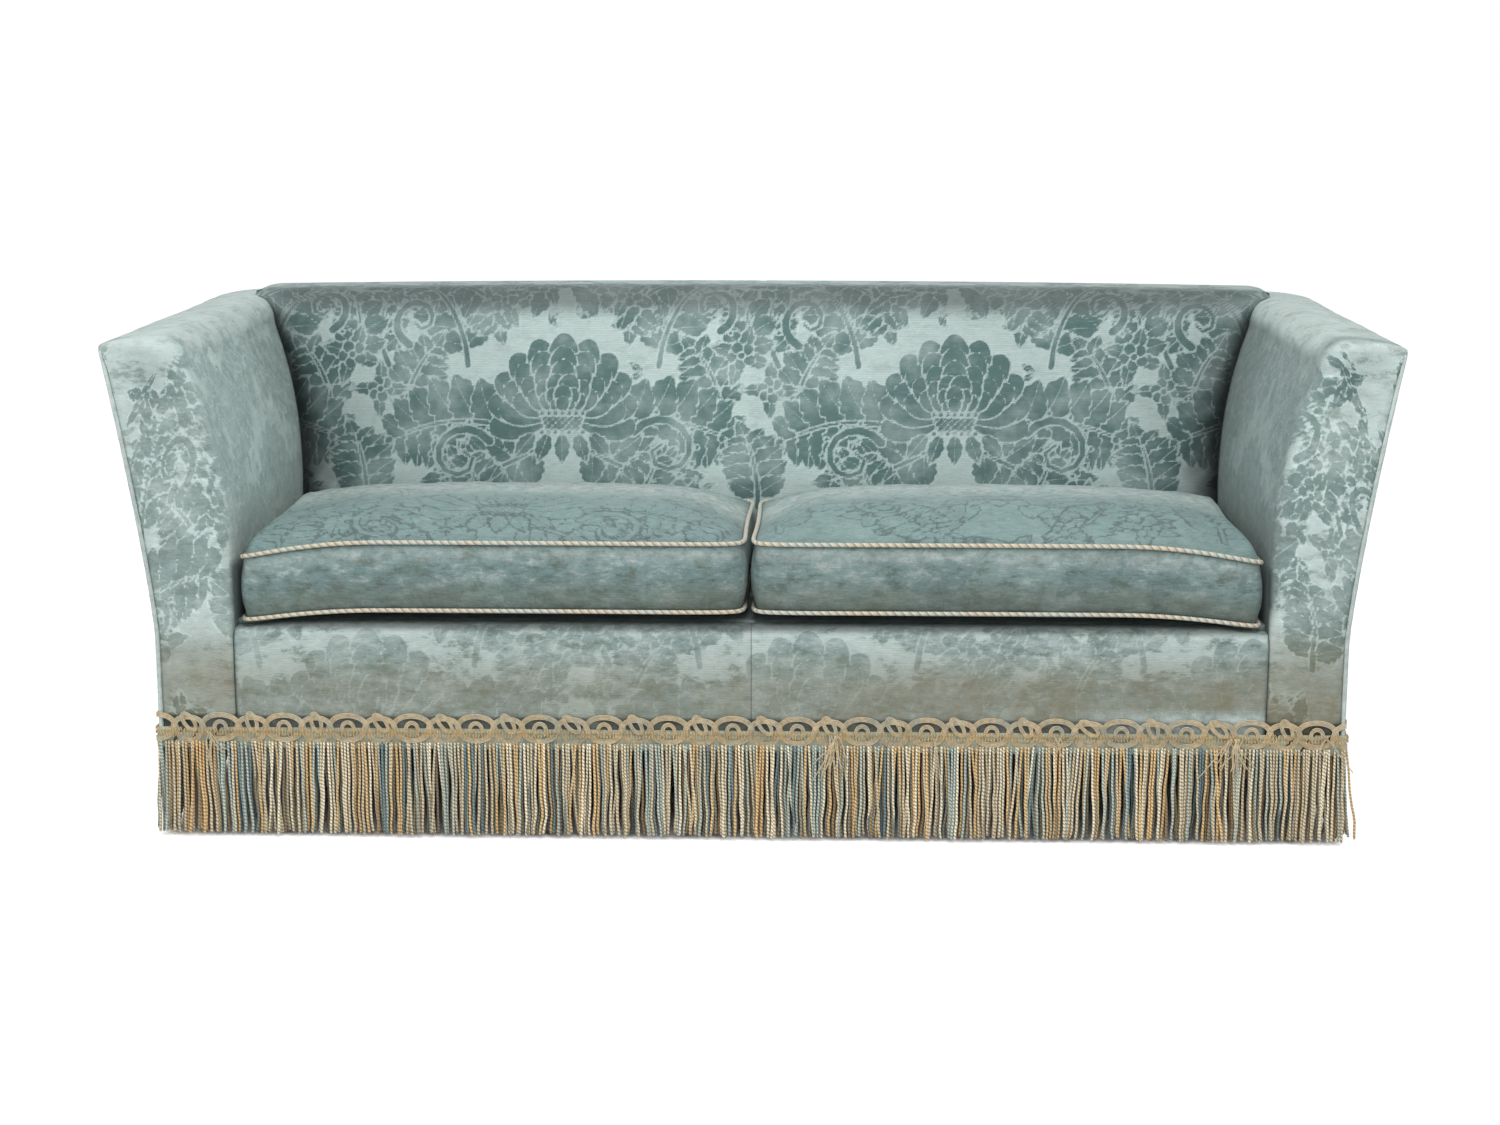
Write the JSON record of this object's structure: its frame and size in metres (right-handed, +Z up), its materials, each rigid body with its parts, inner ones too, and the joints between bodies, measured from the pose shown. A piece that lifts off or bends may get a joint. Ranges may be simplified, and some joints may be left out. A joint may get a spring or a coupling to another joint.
{
  "type": "upholstered sofa",
  "caption": "Seat for two people with tall flared arms as high as its back, loose corded box cushions and a bullion fringe to the floor.",
  "frame": {"origin": "on the floor under the middle of the sofa's box", "axes": "+X along the sofa, to the right of someone who looks at its front; the front faces -Y; +Z up"},
  "size_m": [2.126, 0.8796, 0.864],
  "materials": {
    "velvet": "cut velvet damask, teal pile on a silver-green ground, worn",
    "cushion_velvet": "crushed velvet pile with thin dark embossed outlines",
    "rope_cord": "three-ply twisted rope in cream, tan and pale teal",
    "ticking": "cotton ticking over the filling",
    "zip": "nylon coil on woven tape",
    "fringe": "twisted cords in cream, sage, ochre and teal under a looped gimp",
    "wadding": "soft cotton wadding",
    "hessian": "open plain weave of jute",
    "spring_steel": "drawn wire, dull",
    "webbing": "woven jute strips",
    "dust_cover": "thin black cambric",
    "timber": "sawn beech, unpolished",
    "leg_timber": "stained beech"
  },
  "bodies": {
    "root": {"outside_back_cover": "velvet", "inside_back_cover": "velvet", "front_border_cover": "velvet", "deck_cover": "velvet", "left_inside_arm_cover": "velvet", "right_inside_arm_cover": "velvet", "left_outside_arm_cover": "velvet", "right_outside_arm_cover": "velvet", "left_arm_welt": "velvet", "right_arm_welt": "velvet", "front_fringe": "fringe", "back_fringe": "fringe", "left_fringe": "fringe", "right_fringe": "fringe", "inside_back_pad": "wadding", "front_border_pad": "wadding", "deck_pad": "wadding", "left_arm_pad": "wadding", "right_arm_pad": "wadding", "seat_hessian": "hessian", "seat_springs": "spring_steel", "seat_webbing": "webbing", "back_webbing": "webbing", "dust_cover": "dust_cover", "front_seat_rail": "timber", "back_seat_rail": "timber", "left_seat_rail": "timber", "right_seat_rail": "timber", "seat_cross_brace": "timber", "front_left_corner_block": "timber", "front_right_corner_block": "timber", "rear_left_corner_block": "timber", "rear_right_corner_block": "timber", "left_front_post": "timber", "right_front_post": "timber", "left_rear_post": "timber", "right_rear_post": "timber", "left_arm_rail": "timber", "right_arm_rail": "timber", "left_arm_tuck_rail": "timber", "right_arm_tuck_rail": "timber", "back_tuck_rail": "timber", "back_top_rail": "timber", "back_centre_stile": "timber", "front_left_leg": "leg_timber", "front_centre_leg": "leg_timber", "front_right_leg": "leg_timber", "rear_left_leg": "leg_timber", "rear_centre_leg": "leg_timber", "rear_right_leg": "leg_timber"},
    "left_cushion": {"left_cushion_cover": "cushion_velvet", "left_cushion_core": "ticking", "left_cushion_zip": "zip", "left_cushion_top_cord": "rope_cord", "left_cushion_bottom_cord": "rope_cord"},
    "right_cushion": {"right_cushion_cover": "cushion_velvet", "right_cushion_core": "ticking", "right_cushion_zip": "zip", "right_cushion_top_cord": "rope_cord", "right_cushion_bottom_cord": "rope_cord"}
  },
  "joints": [
    {"name": "left_cushion_lift", "type": "slide", "parent": "root", "child": "left_cushion", "axis": [0, 0, 1], "range_m": [0, 0.6]},
    {"name": "right_cushion_lift", "type": "slide", "parent": "root", "child": "right_cushion", "axis": [0, 0, 1], "range_m": [0, 0.6]}
  ]
}
